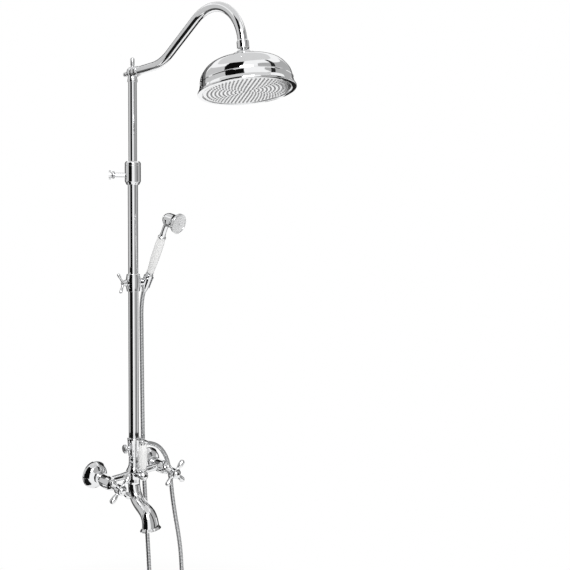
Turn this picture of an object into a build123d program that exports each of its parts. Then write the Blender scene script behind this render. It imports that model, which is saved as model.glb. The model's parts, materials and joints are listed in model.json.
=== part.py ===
from build123d import *
from math import cos, radians, sin, tan
import os

os.makedirs("parts", exist_ok=True)

# Sizes in millimetres. The origin lies on the wall, midway between the two inlets:
# X runs along the wall, +Y goes into the wall and Z is up.

# Fits
running_gap = 0.3
end_gap = 0.5

# Inlets and wall flanges, measured out from the wall
inlet_spacing = 150.0
inlet_thread_radius = 10.48
inlet_thread_length = 18.0
union_radius = 12.0
flange_radius = 31.0
flange_depth = 23.0
flange_wall = 1.6
union_nut_radius = 14.0
union_nut_length = 8.0

# Mixer casting
wall_to_column = 55.0
valve_radius = 15.0
valve_tail_radius = 11.5
valve_front = 77.0
bar_radius = 8.0
bar_centre_radius = 11.0
hub_radius = 19.0
hub_bottom = -25.0
hub_shoulder = 7.0
hub_top = 28.0
neck_radius = 12.0
neck_groove = 1.6

# Valve bonnets, stems and cross handles
bonnet_radius = 13.0
bonnet_length = 16.0
bonnet_neck_radius = 7.4
stem_radius = 4.0
stem_engagement = 12.0
handle_hub_radius = 11.5
handle_hub_length = 33.0
handle_socket_depth = 18.0
lobe_plane = 23.0
lobe_reach = 35.0
lobe_radius = 6.2
lobe_neck_radius = 3.8
lobe_count = 4
handle_cap_radius = 7.6
handle_cap_height = 4.0

# Selector lever in the middle of the casting
lever_height = 6.0
lever_boss_radius = 11.0
lever_boss_front = 75.0
lever_bonnet_length = 6.0
lever_stem_engagement = 4.0
lever_hub_radius = 10.5
lever_hub_length = 23.0
lever_ferrule_radius = 7.6
lever_ferrule_height = 16.0
lever_grip_radius = 10.6
lever_grip_length = 56.0
lever_tip_radius = 5.8
lever_tip_height = 6.0

# Spout: it leaves the hub downwards, swings out and ends downwards in a flared lip
spout_start_height = -18.0
spout_start_pull = 74.0
spout_end_out = 69.5
spout_end_height = -110.0
spout_end_pull = 64.0
spout_root_radius = 14.2
spout_mouth_half_width = 21.5
spout_mouth_half_depth = 16.0
spout_growth = 1.8
spout_mouth_tilt = 10.0
spout_lip_overhang = 4.0
spout_lip_flare = 5.0
spout_lip_thickness = 1.6
spout_wall = 2.6
spout_mouth_depth = 9.0
spout_steps = 6
aerator_thickness = 3.0

# Inline diverter at the foot of the column
sleeve_foot_radius = 12.6
sleeve_head_radius = 15.2
neck_length = 14.0
sleeve_length = 44.0
sleeve_band = 4.0
tube_socket_depth = 12.0
pull_rise = 21.0
spool_radius = 5.0
spool_depth = 12.0
spool_show = 1.0
pull_neck_radius = 4.4
pull_neck_length = 7.5
pull_disc_radius = 10.2
pull_disc_thickness = 6.0
outlet_rise = 32.0
outlet_dip = 15.0
outlet_radius = 9.0
outlet_reach = 18.0
hose_nut_radius = 10.4
hose_nut_length = 18.0

# Column tubes
lower_radius = 12.0
upper_radius = 10.0
tube_wall = 1.2
lower_top = 722.0
tube_overlap = 392.0
upper_tube_clear = 12.0
seal_ring_height = 4.0

# Collar with the wall stay
collar_radius = 18.8
collar_seam_rise = 2.5
collar_length = 44.5
collar_nut_length = 10.5
collar_edge = 4.0
gland_height = 2.2
stay_drop = 21.5
stay_heading = 148.5
stay_radius = 5.4
stay_socket_depth = 4.0
stay_foot_length = 16.0
stay_bead_radius = 9.0
stay_foot_radius = 10.5
stay_foot_thickness = 4.5
stay_hole_radius = 3.4
stay_hole_depth = 9.0

# Knuckle and shower arm
arm_height = 941.0
knuckle_radius = 13.6
knuckle_skirt_radius = 11.6
knuckle_skirt_drop = 23.0
knuckle_skirt_land = 6.0
knuckle_throat = 0.8
knuckle_boss_radius = 10.8
knuckle_boss_out = 14.0
pin_radius = 4.2
pin_socket_depth = 4.0
top_finial_radius = 4.9
top_finial_height = 34.5
rear_ball_radius = 5.6
rear_ball_out = 30.0
ferrule_radius = 12.0
ferrule_length = 13.0
arm_radius = 9.3
arm_start_out = 8.0
arm_run = 118.0
arm_slope = 30.0
arm_slope_length = 283.0
arm_drop = 154.5
arm_lean = 7.5
arm_bend_radius = 125.0
arm_crook_radius = 97.0

# Ball connector and rain head, measured down from the end of the arm
arm_nut_radius = 11.6
arm_nut_grip = 10.0
arm_nut_land = 6.0
ball_neck_radius = 5.5
ball_radius = 9.5
ball_drop = 16.0
seat_thickness = 2.0
seat_half_height = 5.0
cap_top_radius = 12.6
cap_top_drop = 10.5
cap_radius = 26.0
cap_foot_drop = 22.0
cap_socket_radius = 15.5
cap_socket_drop = 30.0
head_depth = 88.8
head_radius = 93.0
head_plate_radius = 85.0
head_wall = 1.6
head_lip = 3.0
head_band_radius = 87.6
head_band_height = 19.5
head_bead = 1.2
head_shoulder_radius = 85.2
head_shoulder_height = 34.0
head_dome_radius = 70.0
head_dome_height = 53.5
head_crown_radius = 40.0
head_crown_height = 63.5
plate_thickness = 2.4
plate_recess = 1.2
nozzle_hole_radius = 1.2
nozzle_pitch = 15.0
nozzle_rings = 5

# Slider, clamp and handset holder
slider_height = 452.0
slider_half_height = 20.5
slider_radius = 17.2
slider_bush_wall = 1.6
clamp_boss_radius = 8.6
clamp_boss_out = 19.0
clamp_screw_radius = 3.2
clamp_stem_radius = 8.0
clamp_stem_tip_radius = 6.4
clamp_stem_length = 12.0
clamp_stem_tip = 1.5
clamp_bar_radius = 2.8
clamp_bar_end_radius = 3.6
clamp_bar_reach = 25.5
clamp_bar_turn = 14.0
clamp_bar_sweep = 26.0
holder_boss_radius = 8.6
holder_boss_out = 22.0
pivot_radius = 4.2
pivot_grip = 3.0
holder_side = 36.0
holder_out = 4.0
holder_half_length = 15.0
holder_wall = 2.8
holder_slot = 12.0

# Handset, measured up its own axis from the middle of the holder
handset_lean = 30.0
tail_bottom = -17.0
tail_bottom_radius = 8.0
tail_top = 21.0
tail_top_radius = 9.4
grip_bottom = 28.0
grip_bottom_radius = 8.2
grip_top = 122.0
grip_top_radius = 8.8
grip_belly_radius = 10.4
handset_ferrule_radius = 9.6
handset_ferrule_length = 6.0
handset_neck_radius = 6.2
bulb_height = 171.0
bulb_radius = 16.0
bulb_front = 4.0
face_turn = 14.0
face_tilt = 18.0
face_out = 31.0
face_radius = 23.2
face_rim = 5.0
face_plate_radius = 21.2
face_plate_thickness = 2.6
face_hole_radius = 0.9
face_pitch = 7.0
face_rings = 2
side_cap_radius = 5.6
side_cap_height = 2.6
tail_nut_radius = 7.4
tail_nut_length = 8.0

# Hose
hose_radius = 5.2
hose_crimp = 1.2
hose_share = 0.45
hose_top_run = 25.0
hose_outlet_run = 22.0

# Places that follow from the sizes above
half_spacing = inlet_spacing / 2
column_y = -wall_to_column
sleeve_bottom = hub_top + neck_length
sleeve_top = sleeve_bottom + sleeve_length
sleeve_radius = (sleeve_foot_radius + sleeve_head_radius) / 2
tube_bottom = sleeve_top - tube_socket_depth
pull_height = sleeve_bottom + pull_rise
outlet_height = sleeve_bottom + outlet_rise
upper_bottom = lower_top - tube_overlap
upper_top = arm_height - upper_tube_clear
collar_seam = lower_top + collar_seam_rise
collar_bottom = collar_seam - collar_length
collar_top = collar_seam + collar_nut_length
stay_height = collar_seam - stay_drop
knuckle_skirt_bottom = arm_height - knuckle_skirt_drop


def axis_plane(origin, along):
    """A plane with its local Y along an axis and its local X pointing away from it."""
    along = Vector(*along).normalized()
    side = Vector(0, 0, 1) if abs(along.X) > 0.5 else Vector(1, 0, 0)
    outward = (side - along * side.dot(along)).normalized()
    return Plane(origin=origin, x_dir=outward, z_dir=outward.cross(along))


def outline(plane, *corners):
    """A closed outline of (distance from the axis, distance along it, corner radius)."""
    with BuildSketch(plane) as face:
        with BuildLine():
            FilletPolyline(
                *[(out, along) for out, along, _ in corners],
                radius=[rounding for _, _, rounding in corners],
                close=True,
            )
        make_face()
    return face.sketch


def turn(plane, *corners, mode=Mode.ADD):
    """Turns an outline about the local Y of its plane."""
    revolve(outline(plane, *corners), axis=Axis(plane.origin, plane.y_dir), mode=mode)


def rod(plane, radius, start, end, mode=Mode.ADD):
    """A round rod, or a round hole, along the local Y of a plane."""
    turn(plane, (0, start, 0), (radius, start, 0), (radius, end, 0), (0, end, 0), mode=mode)


def hand_in(piece, name):
    """Names a piece and writes its STEP file."""
    piece.part.label = name
    export_step(piece.part, f"parts/{name}.step")


column = axis_plane((0, column_y, 0), (0, 0, 1))
bar_axis = axis_plane((0, column_y, 0), (1, 0, 0))
lever_axis = axis_plane((0, 0, lever_height), (0, -1, 0))
sides = {"left": -half_spacing, "right": half_spacing}
valve_axes = {side: axis_plane((x, 0, 0), (0, -1, 0)) for side, x in sides.items()}

# Inlet unions, wall flanges and union nuts
union_nut_front = flange_depth + union_nut_length
for side, valve_axis in valve_axes.items():
    with BuildPart() as inlet_union:
        rod(valve_axis, inlet_thread_radius, -inlet_thread_length, 0)
        rod(valve_axis, union_radius, 0, flange_depth)
    hand_in(inlet_union, f"{side}_inlet_union")

    with BuildPart() as wall_flange:
        turn(
            valve_axis,
            (flange_radius, 0, 0),
            (flange_radius, flange_depth * 0.26, flange_depth * 0.3),
            (flange_radius * 0.78, flange_depth * 0.76, flange_depth * 0.5),
            (union_radius, flange_depth, 0),
            (union_radius, flange_depth - flange_wall, 0),
            (
                flange_radius * 0.78 - flange_wall * 0.6,
                flange_depth * 0.76 - flange_wall,
                flange_depth * 0.44,
            ),
            (flange_radius - flange_wall, flange_depth * 0.26, flange_depth * 0.22),
            (flange_radius - flange_wall, 0, 0),
        )
    hand_in(wall_flange, f"{side}_wall_flange")

    with BuildPart() as union_nut:
        turn(
            valve_axis,
            (0, flange_depth, 0),
            (union_nut_radius, flange_depth, 1),
            (union_nut_radius, union_nut_front, 1),
            (0, union_nut_front, 0),
        )
    hand_in(union_nut, f"{side}_union_nut")

# Casting with both valve housings, the cross-bar and the hub under the column
with BuildPart() as mixer_body:
    for valve_axis in valve_axes.values():
        turn(
            valve_axis,
            (0, union_nut_front, 0),
            (valve_tail_radius, union_nut_front, 0),
            (valve_tail_radius, union_nut_front + 4, 8),
            (valve_radius, wall_to_column - 8, 12),
            (valve_radius, wall_to_column + 11, 10),
            (bonnet_radius, valve_front, 0),
            (0, valve_front, 0),
        )
    turn(
        bar_axis,
        (0, -half_spacing, 0),
        (bar_radius, -half_spacing, 0),
        (bar_radius, -half_spacing * 0.45, 30),
        (bar_centre_radius, 0, 20),
        (bar_radius, half_spacing * 0.45, 30),
        (bar_radius, half_spacing, 0),
        (0, half_spacing, 0),
    )
    turn(
        column,
        (0, hub_bottom, 0),
        (hub_radius * 0.62, hub_bottom, 5),
        (hub_radius * 0.84, hub_bottom * 0.4, 8),
        (hub_radius, hub_shoulder, 4),
        (neck_radius + 1, hub_top * 0.66, 12),
        (neck_radius, hub_top, 0),
        (0, hub_top, 0),
    )
    rod(lever_axis, lever_boss_radius, wall_to_column, lever_boss_front)
hand_in(mixer_body, "mixer_body")

# Valve bonnets, stems, cross handles and caps
bonnet_front = valve_front + bonnet_length
handle_back = bonnet_front + end_gap
handle_front = handle_back + handle_hub_length
stem_front = handle_back + handle_socket_depth
stem_back = bonnet_front - stem_engagement
for side, valve_axis in valve_axes.items():
    with BuildPart() as bonnet:
        turn(
            valve_axis,
            (0, valve_front, 0),
            (bonnet_radius, valve_front, 0),
            (bonnet_radius, valve_front + bonnet_length * 0.25, 2),
            (bonnet_radius * 0.8, valve_front + bonnet_length * 0.5, 3),
            (bonnet_neck_radius, valve_front + bonnet_length * 0.7, 4),
            (bonnet_neck_radius, bonnet_front, 0),
            (0, bonnet_front, 0),
        )
        rod(
            valve_axis,
            stem_radius + running_gap,
            stem_back - end_gap,
            bonnet_front,
            mode=Mode.SUBTRACT,
        )
    hand_in(bonnet, f"{side}_bonnet")

    with BuildPart() as valve_stem:
        rod(valve_axis, stem_radius, stem_back, stem_front)
    hand_in(valve_stem, f"{side}_valve_stem")

    with BuildPart() as cross_handle:
        turn(
            valve_axis,
            (0, handle_back, 0),
            (bonnet_neck_radius, handle_back, 0),
            (bonnet_neck_radius, handle_back + handle_hub_length * 0.15, 4),
            (handle_hub_radius, handle_back + handle_hub_length * 0.42, 6),
            (handle_hub_radius, handle_front - handle_hub_length * 0.08, 2),
            (handle_hub_radius * 0.85, handle_front, 1),
            (0, handle_front, 0),
        )
        for quarter in range(lobe_count):
            angle = radians(45 + quarter * 360 / lobe_count)
            lobe_axis = axis_plane(
                (sides[side], -handle_back - lobe_plane, 0), (cos(angle), 0, sin(angle))
            )
            turn(
                lobe_axis,
                (0, 0, 0),
                (lobe_neck_radius, 0, 0),
                (lobe_neck_radius, lobe_reach * 0.36, 8),
                (lobe_radius, lobe_reach * 0.62, 14),
                (lobe_radius, lobe_reach, lobe_radius * 0.95),
                (0, lobe_reach, 0),
            )
        rod(valve_axis, stem_radius, handle_back, stem_front, mode=Mode.SUBTRACT)
    hand_in(cross_handle, f"{side}_cross_handle")

    with BuildPart() as handle_cap:
        turn(
            valve_axis,
            (0, handle_front, 0),
            (handle_cap_radius, handle_front, 0),
            (handle_cap_radius, handle_front + handle_cap_height * 0.4, 1),
            (handle_cap_radius * 0.6, handle_front + handle_cap_height, 4),
            (0, handle_front + handle_cap_height, 0),
        )
    hand_in(handle_cap, f"{side}_handle_cap")

# Selector lever
lever_bonnet_front = lever_boss_front + lever_bonnet_length
lever_back = lever_bonnet_front + end_gap
lever_front = lever_back + lever_hub_length
lever_middle = lever_back + lever_hub_length / 2
lever_stem_back = lever_bonnet_front - lever_stem_engagement
lever_column = axis_plane((0, -lever_middle, 0), (0, 0, 1))
ferrule_top = lever_height + lever_ferrule_height
grip_top_height = ferrule_top + lever_grip_length

with BuildPart() as lever_bonnet:
    turn(
        lever_axis,
        (0, lever_boss_front, 0),
        (lever_boss_radius, lever_boss_front, 0),
        (lever_boss_radius, lever_boss_front + lever_bonnet_length * 0.4, 1),
        (lever_boss_radius * 0.75, lever_bonnet_front, 0),
        (0, lever_bonnet_front, 0),
    )
    rod(
        lever_axis,
        stem_radius + running_gap,
        lever_stem_back - end_gap,
        lever_bonnet_front,
        mode=Mode.SUBTRACT,
    )
hand_in(lever_bonnet, "lever_bonnet")

with BuildPart() as lever_stem:
    rod(lever_axis, stem_radius, lever_stem_back, lever_middle)
hand_in(lever_stem, "lever_stem")

with BuildPart() as lever_hub:
    turn(
        lever_axis,
        (0, lever_back, 0),
        (lever_hub_radius * 0.8, lever_back, 1),
        (lever_hub_radius, lever_back + lever_hub_length * 0.25, 5),
        (lever_hub_radius, lever_front - lever_hub_length * 0.2, 4),
        (lever_hub_radius * 0.5, lever_front, 3),
        (0, lever_front, 0),
    )
    turn(
        lever_column,
        (0, lever_height, 0),
        (lever_ferrule_radius * 0.7, lever_height, 0),
        (lever_ferrule_radius * 0.7, ferrule_top - 5, 2),
        (lever_ferrule_radius, ferrule_top - 2.5, 0.8),
        (lever_ferrule_radius, ferrule_top, 0),
        (0, ferrule_top, 0),
    )
    rod(lever_axis, stem_radius, lever_back, lever_middle, mode=Mode.SUBTRACT)
hand_in(lever_hub, "lever_hub")

with BuildPart() as lever_grip:
    turn(
        lever_column,
        (0, ferrule_top, 0),
        (lever_ferrule_radius, ferrule_top, 0.8),
        (lever_grip_radius, ferrule_top + lever_grip_length * 0.3, 40),
        (lever_grip_radius, ferrule_top + lever_grip_length * 0.75, 40),
        (lever_ferrule_radius, grip_top_height, 2),
        (0, grip_top_height, 0),
    )
hand_in(lever_grip, "lever_grip")

with BuildPart() as lever_tip:
    turn(
        lever_column,
        (0, grip_top_height, 0),
        (lever_tip_radius, grip_top_height, 0),
        (lever_tip_radius, grip_top_height + lever_tip_height * 0.45, 1),
        (lever_tip_radius * 0.5, grip_top_height + lever_tip_height, 2.5),
        (0, grip_top_height + lever_tip_height, 0),
    )
hand_in(lever_tip, "lever_tip")

# Spout: oval sections along a centre line that bends twice, widening to the mouth
with BuildLine() as spout_route:
    Bezier(
        (0, column_y, spout_start_height),
        (0, column_y, spout_start_height - spout_start_pull),
        (0, column_y - spout_end_out, spout_end_height + spout_end_pull),
        (0, column_y - spout_end_out, spout_end_height),
    )
spout_line = spout_route.edges()[0]


def spout_heading(share):
    """The way that a section of the spout faces: along the centre line, tilted out to the mouth."""
    return (spout_line % share).rotate(Axis.X, -spout_mouth_tilt * share)


def spout_section(share):
    """An oval across the spout, at a share of its length."""
    growth = share**spout_growth
    half_width = spout_root_radius + (spout_mouth_half_width - spout_root_radius) * growth
    half_depth = spout_root_radius + (spout_mouth_half_depth - spout_root_radius) * growth
    place = Plane(origin=spout_line @ share, x_dir=(1, 0, 0), z_dir=spout_heading(share))
    with BuildSketch(place) as oval:
        Ellipse(half_width, half_depth)
    return oval.sketch


mouth_plane = Plane(origin=spout_line @ 1, x_dir=(1, 0, 0), z_dir=spout_heading(1))
lip_plane = mouth_plane.offset(-spout_lip_thickness)
with BuildSketch(mouth_plane.offset(-spout_lip_thickness - spout_lip_flare)) as lip_root:
    Ellipse(spout_mouth_half_width, spout_mouth_half_depth)
with BuildSketch(lip_plane) as lip_edge:
    Ellipse(spout_mouth_half_width + spout_lip_overhang, spout_mouth_half_depth + spout_lip_overhang)
mouth_half_width = spout_mouth_half_width - spout_wall
mouth_half_depth = spout_mouth_half_depth - spout_wall
with BuildPart() as spout:
    loft([spout_section(step / spout_steps) for step in range(spout_steps + 1)])
    loft([lip_root.sketch, lip_edge.sketch])
    extrude(lip_edge.sketch, amount=spout_lip_thickness, dir=mouth_plane.z_dir)
    with BuildSketch(mouth_plane):
        Ellipse(mouth_half_width, mouth_half_depth)
    extrude(amount=-spout_mouth_depth, mode=Mode.SUBTRACT)
    add(mixer_body.part, mode=Mode.SUBTRACT)
hand_in(spout, "spout")

with BuildPart() as spout_aerator:
    with BuildSketch(mouth_plane.offset(-spout_mouth_depth)):
        Ellipse(mouth_half_width, mouth_half_depth)
    extrude(amount=aerator_thickness)
hand_in(spout_aerator, "spout_aerator")

# Neck and inline diverter under the column
with BuildPart() as riser_neck:
    turn(
        column,
        (0, hub_top, 0),
        (neck_radius, hub_top, 0),
        (neck_radius, sleeve_bottom - neck_groove * 2, 0.8),
        (neck_radius - neck_groove, sleeve_bottom - neck_groove, 0.5),
        (neck_radius - neck_groove, sleeve_bottom, 0),
        (0, sleeve_bottom, 0),
    )
hand_in(riser_neck, "riser_neck")

pull_axis = axis_plane((0, column_y, pull_height), (-1, 0, 0))
outlet_axis = axis_plane(
    (0, column_y, outlet_height), (cos(radians(outlet_dip)), 0, -sin(radians(outlet_dip)))
)
with BuildPart() as diverter_sleeve:
    turn(
        column,
        (0, sleeve_bottom, 0),
        (sleeve_foot_radius, sleeve_bottom, 1),
        (sleeve_head_radius, sleeve_top - sleeve_band, 0.8),
        (sleeve_head_radius, sleeve_top, 1),
        (0, sleeve_top, 0),
    )
    rod(outlet_axis, outlet_radius, 0, outlet_reach)
    rod(column, lower_radius, tube_bottom, sleeve_top, mode=Mode.SUBTRACT)
    rod(
        pull_axis,
        spool_radius + running_gap,
        sleeve_radius - spool_depth - end_gap,
        sleeve_head_radius,
        mode=Mode.SUBTRACT,
    )
hand_in(diverter_sleeve, "diverter_sleeve")

pull_neck_start = sleeve_radius + spool_show
pull_disc_start = sleeve_radius + pull_neck_length
pull_disc_end = pull_disc_start + pull_disc_thickness
with BuildPart() as diverter_spool:
    rod(pull_axis, spool_radius, sleeve_radius - spool_depth, pull_neck_start)
hand_in(diverter_spool, "diverter_spool")

with BuildPart() as diverter_knob:
    turn(
        pull_axis,
        (0, pull_neck_start, 0),
        (pull_neck_radius, pull_neck_start, 0),
        (pull_neck_radius, pull_disc_start, 1.5),
        (pull_disc_radius, pull_disc_start, 1.5),
        (pull_disc_radius, pull_disc_end - 1, 1.5),
        (pull_disc_radius * 0.6, pull_disc_end, 5),
        (0, pull_disc_end, 0),
    )
hand_in(diverter_knob, "diverter_knob")

hose_nut_end = outlet_reach + hose_nut_length
with BuildPart() as outlet_nut:
    turn(
        outlet_axis,
        (0, outlet_reach, 0),
        (hose_nut_radius, outlet_reach, 0.8),
        (hose_nut_radius, outlet_reach + hose_nut_length * 0.3, 1.5),
        (hose_radius + hose_crimp, hose_nut_end, 0.6),
        (0, hose_nut_end, 0),
    )
hand_in(outlet_nut, "outlet_nut")

# Column tubes
with BuildPart() as lower_tube:
    rod(column, lower_radius, tube_bottom, lower_top)
    rod(column, lower_radius - tube_wall, tube_bottom, lower_top, mode=Mode.SUBTRACT)
hand_in(lower_tube, "lower_tube")

with BuildPart() as upper_tube:
    rod(column, upper_radius, upper_bottom, upper_top)
    rod(column, upper_radius - tube_wall, upper_bottom, upper_top, mode=Mode.SUBTRACT)
hand_in(upper_tube, "upper_tube")

seal_ring_radius = lower_radius - tube_wall - running_gap
with BuildPart() as tube_seal:
    rod(column, seal_ring_radius, upper_bottom, upper_bottom + seal_ring_height)
    rod(column, upper_radius, upper_bottom, upper_bottom + seal_ring_height, mode=Mode.SUBTRACT)
hand_in(tube_seal, "tube_seal")

# Collar on the column with the wall stay
stay_direction = (cos(radians(stay_heading)), sin(radians(stay_heading)), 0)
stay_axis = axis_plane((0, column_y, stay_height), stay_direction)
collar_bore = lower_radius + running_gap
gland_bore = upper_radius + running_gap
stay_rod_start = collar_radius - stay_socket_depth
stay_foot_start = wall_to_column - stay_foot_length
stay_foot_face = wall_to_column - stay_foot_thickness
with BuildPart() as column_collar:
    turn(
        column,
        (collar_bore, collar_bottom, 0),
        (collar_radius - collar_edge, collar_bottom, 1.5),
        (collar_radius, collar_bottom + collar_edge * 2, 6),
        (collar_radius, collar_seam, 0.6),
        (collar_bore, collar_seam, 0),
    )
    rod(stay_axis, stay_radius, stay_rod_start, wall_to_column, mode=Mode.SUBTRACT)
hand_in(column_collar, "column_collar")

with BuildPart() as collar_nut:
    turn(
        column,
        (gland_bore, collar_seam, 0),
        (collar_radius, collar_seam, 0.6),
        (collar_radius, collar_top - collar_edge, 3),
        (collar_radius - collar_edge * 0.75, collar_top, 1),
        (gland_bore, collar_top, 0),
    )
hand_in(collar_nut, "collar_nut")

with BuildPart() as collar_gland:
    rod(column, collar_bore, collar_seam - gland_height, collar_seam)
    rod(column, gland_bore, collar_seam - gland_height, collar_seam, mode=Mode.SUBTRACT)
hand_in(collar_gland, "collar_gland")

with BuildPart() as stay_rod:
    rod(stay_axis, stay_radius, stay_rod_start, stay_foot_start)
hand_in(stay_rod, "stay_rod")

with BuildPart() as stay_foot:
    turn(
        stay_axis,
        (0, stay_foot_start, 0),
        (stay_radius - 1, stay_foot_start, 0),
        (stay_radius - 1, stay_foot_start + 2, 0.8),
        (stay_bead_radius, stay_foot_start + 4, 1.5),
        (stay_bead_radius, stay_foot_start + 6, 2),
        (stay_radius + 1, stay_foot_face - 1, 3),
        (stay_radius + 1, stay_foot_face, 0),
        (stay_foot_radius, stay_foot_face, 0.8),
        (stay_foot_radius, wall_to_column, 0.5),
        (0, wall_to_column, 0),
    )
    rod(
        stay_axis,
        stay_hole_radius,
        wall_to_column - stay_hole_depth,
        wall_to_column,
        mode=Mode.SUBTRACT,
    )
hand_in(stay_foot, "stay_foot")

# Knuckle with its two finials
arm_axis = axis_plane((0, column_y, arm_height), (0, -1, 0))
rear_axis = axis_plane((0, column_y, arm_height), (0, 1, 0))
pin_start = knuckle_radius - pin_socket_depth
with BuildPart() as arm_knuckle:
    with Locations((0, column_y, arm_height)):
        Sphere(knuckle_radius)
    turn(
        column,
        (0, knuckle_skirt_bottom, 0),
        (knuckle_skirt_radius, knuckle_skirt_bottom, 1),
        (knuckle_skirt_radius, knuckle_skirt_bottom + knuckle_skirt_land, 2),
        (upper_radius + knuckle_throat, knuckle_skirt_bottom + knuckle_skirt_land * 1.5, 2),
        (upper_radius + knuckle_throat, arm_height, 0),
        (0, arm_height, 0),
    )
    rod(arm_axis, knuckle_boss_radius, 0, knuckle_boss_out)
    rod(column, upper_radius, knuckle_skirt_bottom, upper_top, mode=Mode.SUBTRACT)
    rod(arm_axis, arm_radius, arm_start_out, knuckle_boss_out, mode=Mode.SUBTRACT)
    rod(column, pin_radius, arm_height + pin_start, arm_height + knuckle_radius, mode=Mode.SUBTRACT)
    rod(rear_axis, pin_radius, pin_start, knuckle_radius, mode=Mode.SUBTRACT)
hand_in(arm_knuckle, "arm_knuckle")

top_finial_end = arm_height + top_finial_height
with BuildPart() as top_finial:
    turn(
        column,
        (0, arm_height + pin_start, 0),
        (pin_radius, arm_height + pin_start, 0),
        (pin_radius, arm_height + knuckle_radius + 3, 1),
        (top_finial_radius, arm_height + knuckle_radius + 5, 2),
        (top_finial_radius, top_finial_end, top_finial_radius * 0.9),
        (0, top_finial_end, 0),
    )
hand_in(top_finial, "top_finial")

with BuildPart() as rear_finial:
    rod(rear_axis, pin_radius, pin_start, rear_ball_out)
    with Locations((0, column_y + rear_ball_out, arm_height)):
        Sphere(rear_ball_radius)
hand_in(rear_finial, "rear_finial")

# Shower arm: a level run, a rising slope and a crook that ends near the vertical
ferrule_end = knuckle_boss_out + ferrule_length
with BuildPart() as arm_ferrule:
    turn(
        arm_axis,
        (arm_radius, knuckle_boss_out, 0),
        (ferrule_radius - 1, knuckle_boss_out, 0),
        (ferrule_radius, knuckle_boss_out + 2, 1.5),
        (ferrule_radius, knuckle_boss_out + 5, 1.5),
        (arm_radius + 1, knuckle_boss_out + 8, 2),
        (arm_radius + 1, ferrule_end, 0.8),
        (arm_radius, ferrule_end, 0),
    )
hand_in(arm_ferrule, "arm_ferrule")


def on_arm(out, height):
    """A point of the arm's upright plane, out from the column."""
    return Vector(0, column_y - out, height)


arm_fall = Vector(0, -sin(radians(arm_lean)), -cos(radians(arm_lean)))
arm_first_corner = on_arm(arm_run, arm_height)
arm_second_corner = on_arm(
    arm_run + arm_slope_length * cos(radians(arm_slope)),
    arm_height + arm_slope_length * sin(radians(arm_slope)),
)
arm_end = arm_second_corner + arm_fall * arm_drop
with BuildPart() as shower_arm:
    with BuildLine() as arm_line:
        FilletPolyline(
            on_arm(arm_start_out, arm_height),
            arm_first_corner,
            arm_second_corner,
            arm_end,
            radius=[arm_bend_radius, arm_crook_radius],
        )
    with BuildSketch(Plane(origin=on_arm(arm_start_out, arm_height), x_dir=(1, 0, 0), z_dir=(0, -1, 0))):
        Circle(arm_radius)
        Circle(arm_radius - tube_wall, mode=Mode.SUBTRACT)
    sweep(path=arm_line.wires()[0])
hand_in(shower_arm, "shower_arm")

# Ball connector on the arm, seat and rain head
head_axis = axis_plane(arm_end, tuple(arm_fall))
ball_centre = arm_end + arm_fall * ball_drop
seat_bore = ball_radius + running_gap
seat_radius = seat_bore + seat_thickness
socket_bore = seat_radius + running_gap
with BuildPart() as ball_connector:
    turn(
        head_axis,
        (0, -arm_nut_grip, 0),
        (arm_nut_radius - 1, -arm_nut_grip, 0),
        (arm_nut_radius, -arm_nut_grip + 2, 1),
        (arm_nut_radius, arm_nut_land - 1, 0.8),
        (arm_nut_radius - 2, arm_nut_land, 0),
        (ball_neck_radius, arm_nut_land, 0),
        (ball_neck_radius, ball_drop, 0),
        (0, ball_drop, 0),
    )
    with Locations(ball_centre):
        Sphere(ball_radius)
    rod(head_axis, arm_radius, -arm_nut_grip, 0, mode=Mode.SUBTRACT)
hand_in(ball_connector, "ball_connector")

with BuildPart() as swivel_seat:
    with Locations(ball_centre):
        Sphere(seat_radius)
        Sphere(seat_bore, mode=Mode.SUBTRACT)
    rod(head_axis, seat_radius * 2, 0, ball_drop - seat_half_height, mode=Mode.SUBTRACT)
    rod(
        head_axis,
        seat_radius * 2,
        ball_drop + seat_half_height,
        ball_drop + seat_radius * 2,
        mode=Mode.SUBTRACT,
    )
hand_in(swivel_seat, "swivel_seat")

with BuildPart() as head_cap:
    turn(
        head_axis,
        (0, cap_top_drop, 0),
        (cap_top_radius, cap_top_drop, 0.6),
        (cap_top_radius + 2, cap_top_drop + 2, 3),
        (cap_radius - 4, cap_foot_drop - 6, 8),
        (cap_radius, cap_foot_drop - 2, 1.5),
        (cap_radius, cap_foot_drop, 0),
        (cap_socket_radius, cap_foot_drop, 0),
        (cap_socket_radius, cap_socket_drop, 0),
        (0, cap_socket_drop, 0),
    )
    with Locations(ball_centre):
        Sphere(socket_bore, mode=Mode.SUBTRACT)
    rod(head_axis, socket_bore, ball_drop, cap_socket_drop, mode=Mode.SUBTRACT)
hand_in(head_cap, "head_cap")

rim_centre = arm_end + arm_fall * head_depth
rim_axis = axis_plane(rim_centre, tuple(-arm_fall))
crown_height = head_depth - cap_foot_drop
with BuildPart() as head_shell:
    turn(
        rim_axis,
        (head_radius, 0, 1.2),
        (head_radius, head_lip, 2),
        (head_band_radius + 2, head_lip * 3, 5),
        (head_band_radius, head_band_height - head_bead, 0),
        (head_band_radius + head_bead, head_band_height, 0.6),
        (head_band_radius, head_band_height + head_bead, 0),
        (head_shoulder_radius, head_shoulder_height, 30),
        (head_dome_radius, head_dome_height, 40),
        (head_crown_radius, head_crown_height, 60),
        (cap_radius, crown_height, 0),
        (cap_socket_radius, crown_height, 0),
        (cap_socket_radius, crown_height - head_wall, 0),
        (cap_radius, crown_height - head_wall, 0),
        (head_crown_radius - head_wall * 0.3, head_crown_height - head_wall, 58),
        (head_dome_radius - head_wall * 0.6, head_dome_height - head_wall * 0.85, 38),
        (head_shoulder_radius - head_wall, head_shoulder_height - head_wall * 0.4, 28),
        (head_band_radius - head_wall, head_band_height, 0),
        (head_plate_radius, head_lip * 2, 0),
        (head_plate_radius, 0, 0),
    )
hand_in(head_shell, "head_shell")

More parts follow.
